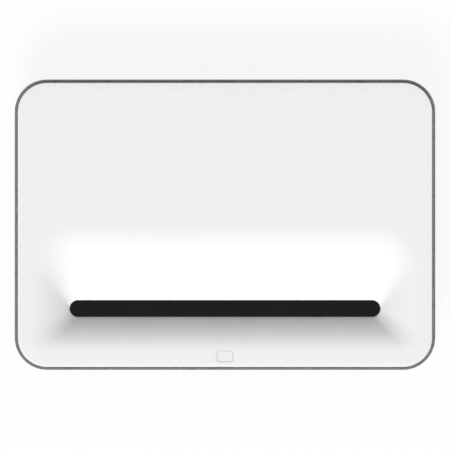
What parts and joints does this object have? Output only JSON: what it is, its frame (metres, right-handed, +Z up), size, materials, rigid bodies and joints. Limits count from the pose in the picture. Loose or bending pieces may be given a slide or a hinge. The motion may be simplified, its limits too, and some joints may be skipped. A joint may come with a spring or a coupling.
{
  "type": "ultra short throw projector with disc player",
  "caption": "Flat white laser projector with a scooped light slot, fabric-wrapped sides, a side-loading disc tray and a recessed rear port panel.",
  "frame": {"origin": "on the table, under the middle of the body", "axes": "+X to the viewer's right, +Y towards the wall that the picture falls on, +Z up; the power button and the light slot are on the -Y side"},
  "size_m": [0.533, 0.368, 0.107],
  "materials": {
    "cover": "satin white moulded plastic",
    "button": "satin white moulded plastic",
    "fabric": "grey woven acoustic cloth",
    "frame_plastic": "dark grey moulded plastic",
    "base_plastic": "mid grey moulded plastic",
    "smoked_glass": "black coated flat glass",
    "black_plastic": "black moulded plastic",
    "pale_plastic": "natural acetal",
    "rubber": "black rubber",
    "foot_plastic": "knurled black plastic",
    "screws": "black zinc-plated steel",
    "bright_steel": "ground bright steel",
    "sheet_steel": "zinc-plated sheet steel",
    "motor_steel": "nickel-plated steel",
    "cast_aluminium": "die-cast aluminium",
    "fin_aluminium": "bare sheet aluminium",
    "copper": "bare copper, stated as brass",
    "brass": "turned brass",
    "board": "green printed circuit board",
    "clear_glass": "coated optical glass",
    "phosphor": "metal disc with a yellow phosphor ring",
    "mirror": "aluminised aspheric mirror",
    "cone": "coated paper cone"
  },
  "bodies": {
    "root": {"top_cover": "cover", "fabric_wrap": "fabric", "grille_frame_front": "frame_plastic", "grille_frame_rear": "frame_plastic", "grille_frame_left": "frame_plastic", "grille_frame_right": "frame_plastic", "base_pan": "base_plastic", "window_glass": "smoked_glass", "light_shroud": "black_plastic", "port_panel": "black_plastic", "power_inlet": "black_plastic", "audio_sockets": "black_plastic", "disc_trim": "black_plastic", "fan_frames": "black_plastic", "speaker_boxes": "black_plastic", "rear_feet": "rubber", "loading_belt": "rubber", "case_screws": "screws", "data_sockets": "bright_steel", "drive_chassis": "sheet_steel", "clamp_bridge": "sheet_steel", "mirror_bracket": "sheet_steel", "small_motors": "motor_steel", "speaker_drivers": "motor_steel", "engine_housing": "cast_aluminium", "laser_housing": "cast_aluminium", "lens_barrel": "cast_aluminium", "heatsinks": "fin_aluminium", "heat_pipes": "copper", "main_board": "board", "power_supply": "board", "small_boards": "board", "lens_glasses": "clear_glass", "laser_optics": "clear_glass", "mirror": "mirror", "woofer_cones": "cone"},
    "power_button": {"power_button": "button"},
    "eject_button": {"eject_button": "button"},
    "tray": {"disc_tray": "black_plastic", "tray_front": "black_plastic"},
    "tray_gear": {"tray_gear": "pale_plastic"},
    "belt_pulley": {"belt_pulley": "pale_plastic"},
    "motor_pulley": {"motor_pulley": "brass"},
    "deck": {"drive_deck": "sheet_steel", "deck_motors": "motor_steel", "guide_rods": "bright_steel"},
    "turntable": {"turntable": "pale_plastic"},
    "pickup": {"optical_pickup": "motor_steel"},
    "lead_screw": {"lead_screw": "bright_steel"},
    "clamp_puck": {"clamp_puck": "pale_plastic"},
    "focus_ring": {"focus_ring": "black_plastic"},
    "focus_pinion": {"focus_pinion": "black_plastic"},
    "phosphor_wheel": {"phosphor_wheel": "phosphor"},
    "exhaust_fan_front": {"exhaust_fan_rotor_front": "black_plastic"},
    "exhaust_fan_rear": {"exhaust_fan_rotor_rear": "black_plastic"},
    "intake_fan": {"intake_fan_rotor": "black_plastic"},
    "foot_pad_left": {"foot_pad_left": "rubber"},
    "foot_pad_right": {"foot_pad_right": "rubber"},
    "foot_screw_left": {"foot_screw_left": "foot_plastic"},
    "foot_screw_right": {"foot_screw_right": "foot_plastic"}
  },
  "joints": [
    {"name": "power_button_press", "type": "slide", "parent": "root", "child": "power_button", "axis": [0, 0, -1], "range_m": [0, 0.0008], "stiffness_N_per_m": 600, "springref_m": -0.0005},
    {"name": "eject_button_press", "type": "slide", "parent": "root", "child": "eject_button", "axis": [-1, 0, 0], "range_m": [0, 0.0006], "stiffness_N_per_m": 500, "springref_m": -0.0004},
    {"name": "tray_slide", "type": "slide", "parent": "root", "child": "tray", "axis": [1, 0, 0], "range_m": [0, 0.142]},
    {"name": "tray_gear_spin", "type": "hinge", "parent": "root", "child": "tray_gear", "pos_m": [0.238, 0.089, 0.03], "axis": [0, 0, 1], "range_deg": [-1019, 0]},
    {"name": "belt_pulley_spin", "type": "hinge", "parent": "root", "child": "belt_pulley", "pos_m": [0.21987, 0.08055, 0.02], "axis": [0, 0, 1], "range_deg": [0, 2376]},
    {"name": "motor_pulley_spin", "type": "hinge", "parent": "root", "child": "motor_pulley", "pos_m": [0.19087, 0.08755, 0.02], "axis": [0, 0, 1], "range_deg": [0, 6925]},
    {"name": "deck_tilt", "type": "hinge", "parent": "root", "child": "deck", "pos_m": [0.07, 0.045, 0.0235], "axis": [0, 1, 0], "range_deg": [0, 4]},
    {"name": "turntable_spin", "type": "hinge", "parent": "deck", "child": "turntable", "pos_m": [0.169, 0.045, 0.036], "axis": [0, 0, 1], "continuous": true},
    {"name": "pickup_slide", "type": "slide", "parent": "deck", "child": "pickup", "axis": [-1, 0, 0], "range_m": [0, 0.034]},
    {"name": "lead_screw_spin", "type": "hinge", "parent": "deck", "child": "lead_screw", "pos_m": [0.1, 0.018, 0.0305], "axis": [1, 0, 0], "range_deg": [0, 4085]},
    {"name": "clamp_puck_spin", "type": "hinge", "parent": "root", "child": "clamp_puck", "pos_m": [0.169, 0.045, 0.05], "axis": [0, 0, 1], "continuous": true},
    {"name": "focus_ring_turn", "type": "hinge", "parent": "root", "child": "focus_ring", "pos_m": [0, 0, 0.043], "axis": [0, 1, 0], "range_deg": [-20, 20]},
    {"name": "focus_pinion_turn", "type": "hinge", "parent": "root", "child": "focus_pinion", "pos_m": [0.0336, 0.02, 0.043], "axis": [0, 1, 0], "range_deg": [-101, 101]},
    {"name": "phosphor_wheel_spin", "type": "hinge", "parent": "root", "child": "phosphor_wheel", "pos_m": [-0.09, 0.075, 0.0355], "axis": [1, 0, 0], "continuous": true},
    {"name": "exhaust_fan_front_spin", "type": "hinge", "parent": "root", "child": "exhaust_fan_front", "pos_m": [-0.248, 0.038, 0.049], "axis": [1, 0, 0], "continuous": true},
    {"name": "exhaust_fan_rear_spin", "type": "hinge", "parent": "root", "child": "exhaust_fan_rear", "pos_m": [-0.248, 0.112, 0.049], "axis": [1, 0, 0], "continuous": true},
    {"name": "intake_fan_spin", "type": "hinge", "parent": "root", "child": "intake_fan", "pos_m": [0.248, -0.068, 0.049], "axis": [1, 0, 0], "continuous": true},
    {"name": "foot_left_height", "type": "slide", "parent": "root", "child": "foot_pad_left", "axis": [0, 0, -1], "range_m": [0, 0.006]},
    {"name": "foot_left_turn", "type": "hinge", "parent": "foot_pad_left", "child": "foot_screw_left", "pos_m": [-0.222, -0.105, 0.006], "axis": [0, 0, -1], "range_deg": [0, 1748]},
    {"name": "foot_right_height", "type": "slide", "parent": "root", "child": "foot_pad_right", "axis": [0, 0, -1], "range_m": [0, 0.006]},
    {"name": "foot_right_turn", "type": "hinge", "parent": "foot_pad_right", "child": "foot_screw_right", "pos_m": [0.222, -0.105, 0.006], "axis": [0, 0, -1], "range_deg": [0, 1748]}
  ],
  "couplings": [
    {"joint": "tray_gear_spin", "follows": "tray_slide", "rad_per_m": -125},
    {"joint": "belt_pulley_spin", "follows": "tray_slide", "rad_per_m": 291.67},
    {"joint": "motor_pulley_spin", "follows": "tray_slide", "rad_per_m": 850.18},
    {"joint": "lead_screw_spin", "follows": "pickup_slide", "rad_per_m": 2094.4},
    {"joint": "clamp_puck_spin", "follows": "turntable_spin", "ratio": 1},
    {"joint": "focus_pinion_turn", "follows": "focus_ring_turn", "ratio": -5},
    {"joint": "foot_left_turn", "follows": "foot_left_height", "rad_per_m": 5026.5},
    {"joint": "foot_right_turn", "follows": "foot_right_height", "rad_per_m": 5026.5}
  ]
}
